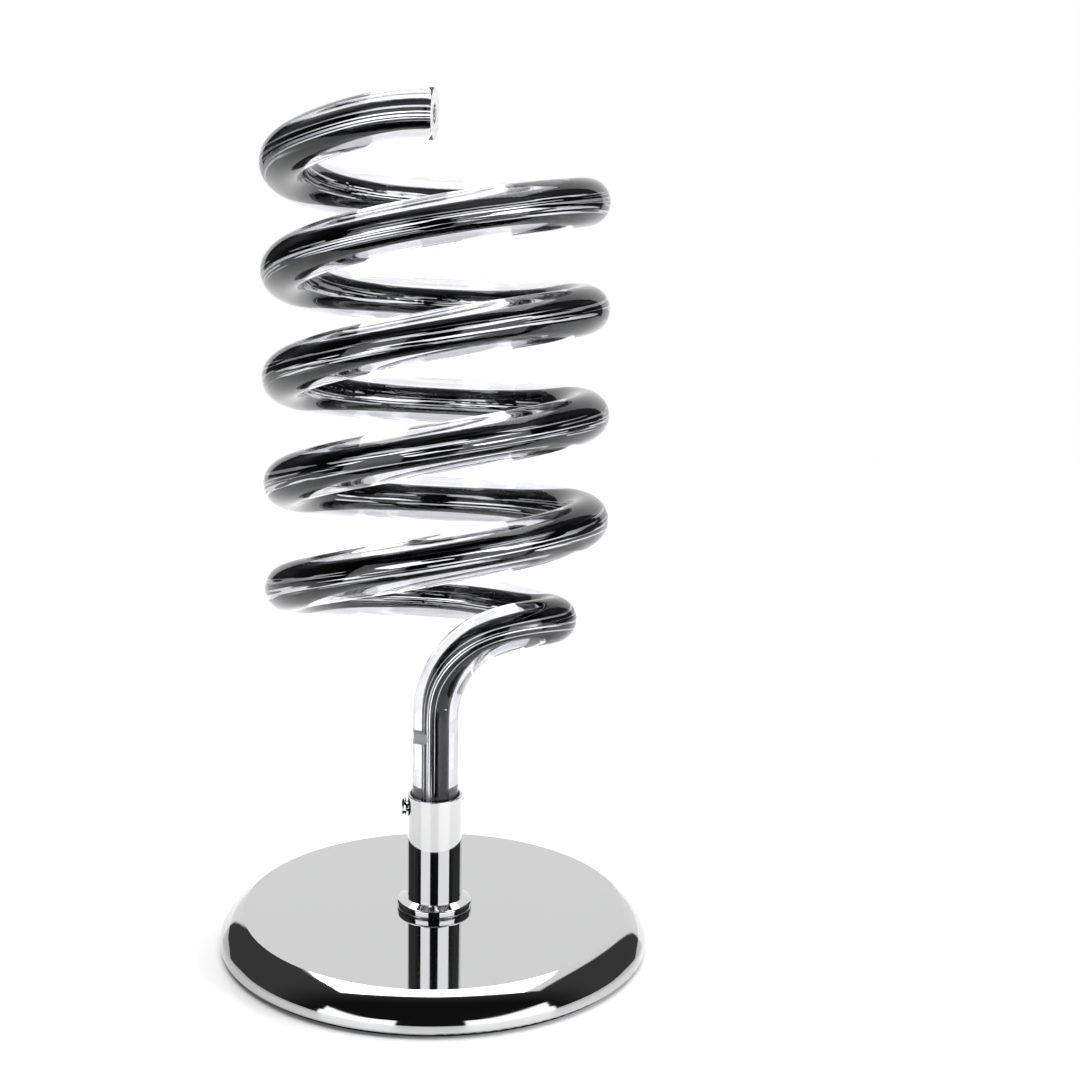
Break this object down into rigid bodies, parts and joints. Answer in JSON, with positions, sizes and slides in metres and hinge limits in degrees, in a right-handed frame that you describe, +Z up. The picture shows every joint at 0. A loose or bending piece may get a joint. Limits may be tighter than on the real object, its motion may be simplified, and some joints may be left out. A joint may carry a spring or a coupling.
{
  "type": "hair dryer holder",
  "caption": "Weighted round base with a socket and a coil of clear tube that a hair dryer's barrel drops into; height and turn set by a lock screw.",
  "frame": {"origin": "on the table under the socket's axis, at the middle of the round base", "axes": "+Z up along the socket; -Y is the front, the side the coil's open end faces; +X to the right, the lock screw is on -X"},
  "size_m": [0.15, 0.15, 0.2981],
  "materials": {
    "polished_steel": "mirror polished stainless",
    "chrome": "mirror polished",
    "cast_iron": "as cast, painted grey",
    "pad_rubber": "matt foam rubber",
    "black_nylon": "matt",
    "bright_steel": "zinc plated",
    "white_nylon": "natural nylon",
    "clear_acrylic": "clear, saw-cut end",
    "mirror_film": "crinkled metallised film"
  },
  "bodies": {
    "base": {"base_cover": "polished_steel", "base_weight": "cast_iron", "base_pad": "pad_rubber", "socket_tube": "chrome", "socket_bush": "black_nylon", "socket_plug": "bright_steel", "collar_ring": "chrome", "clamp_washer": "bright_steel", "lock_washer": "bright_steel", "clamp_bolt": "bright_steel"},
    "screw_tip": {"screw_tip": "white_nylon"},
    "lock_screw": {"lock_screw": "chrome"},
    "stem_foot": {"stem_foot": "white_nylon"},
    "coil": {"coil_tube": "clear_acrylic", "mirror_film": "mirror_film"}
  },
  "joints": [
    {"name": "coil_height", "type": "slide", "parent": "base", "child": "stem_foot", "axis": [0, 0, 1], "range_m": [-0.026, 0.004]},
    {"name": "coil_swivel", "type": "hinge", "parent": "stem_foot", "child": "coil", "pos_m": [0, 0, 0.0419], "axis": [0, 0, 1], "continuous": true},
    {"name": "lock_screw_travel", "type": "slide", "parent": "base", "child": "screw_tip", "axis": [-1, 0, 0], "range_m": [0, 0.00105]},
    {"name": "lock_screw_turn", "type": "hinge", "parent": "screw_tip", "child": "lock_screw", "pos_m": [-0.0095, 0, 0.0506], "axis": [-1, 0, 0], "range_deg": [0, 540]}
  ],
  "couplings": [
    {"joint": "lock_screw_turn", "follows": "lock_screw_travel", "rad_per_m": 8976}
  ]
}
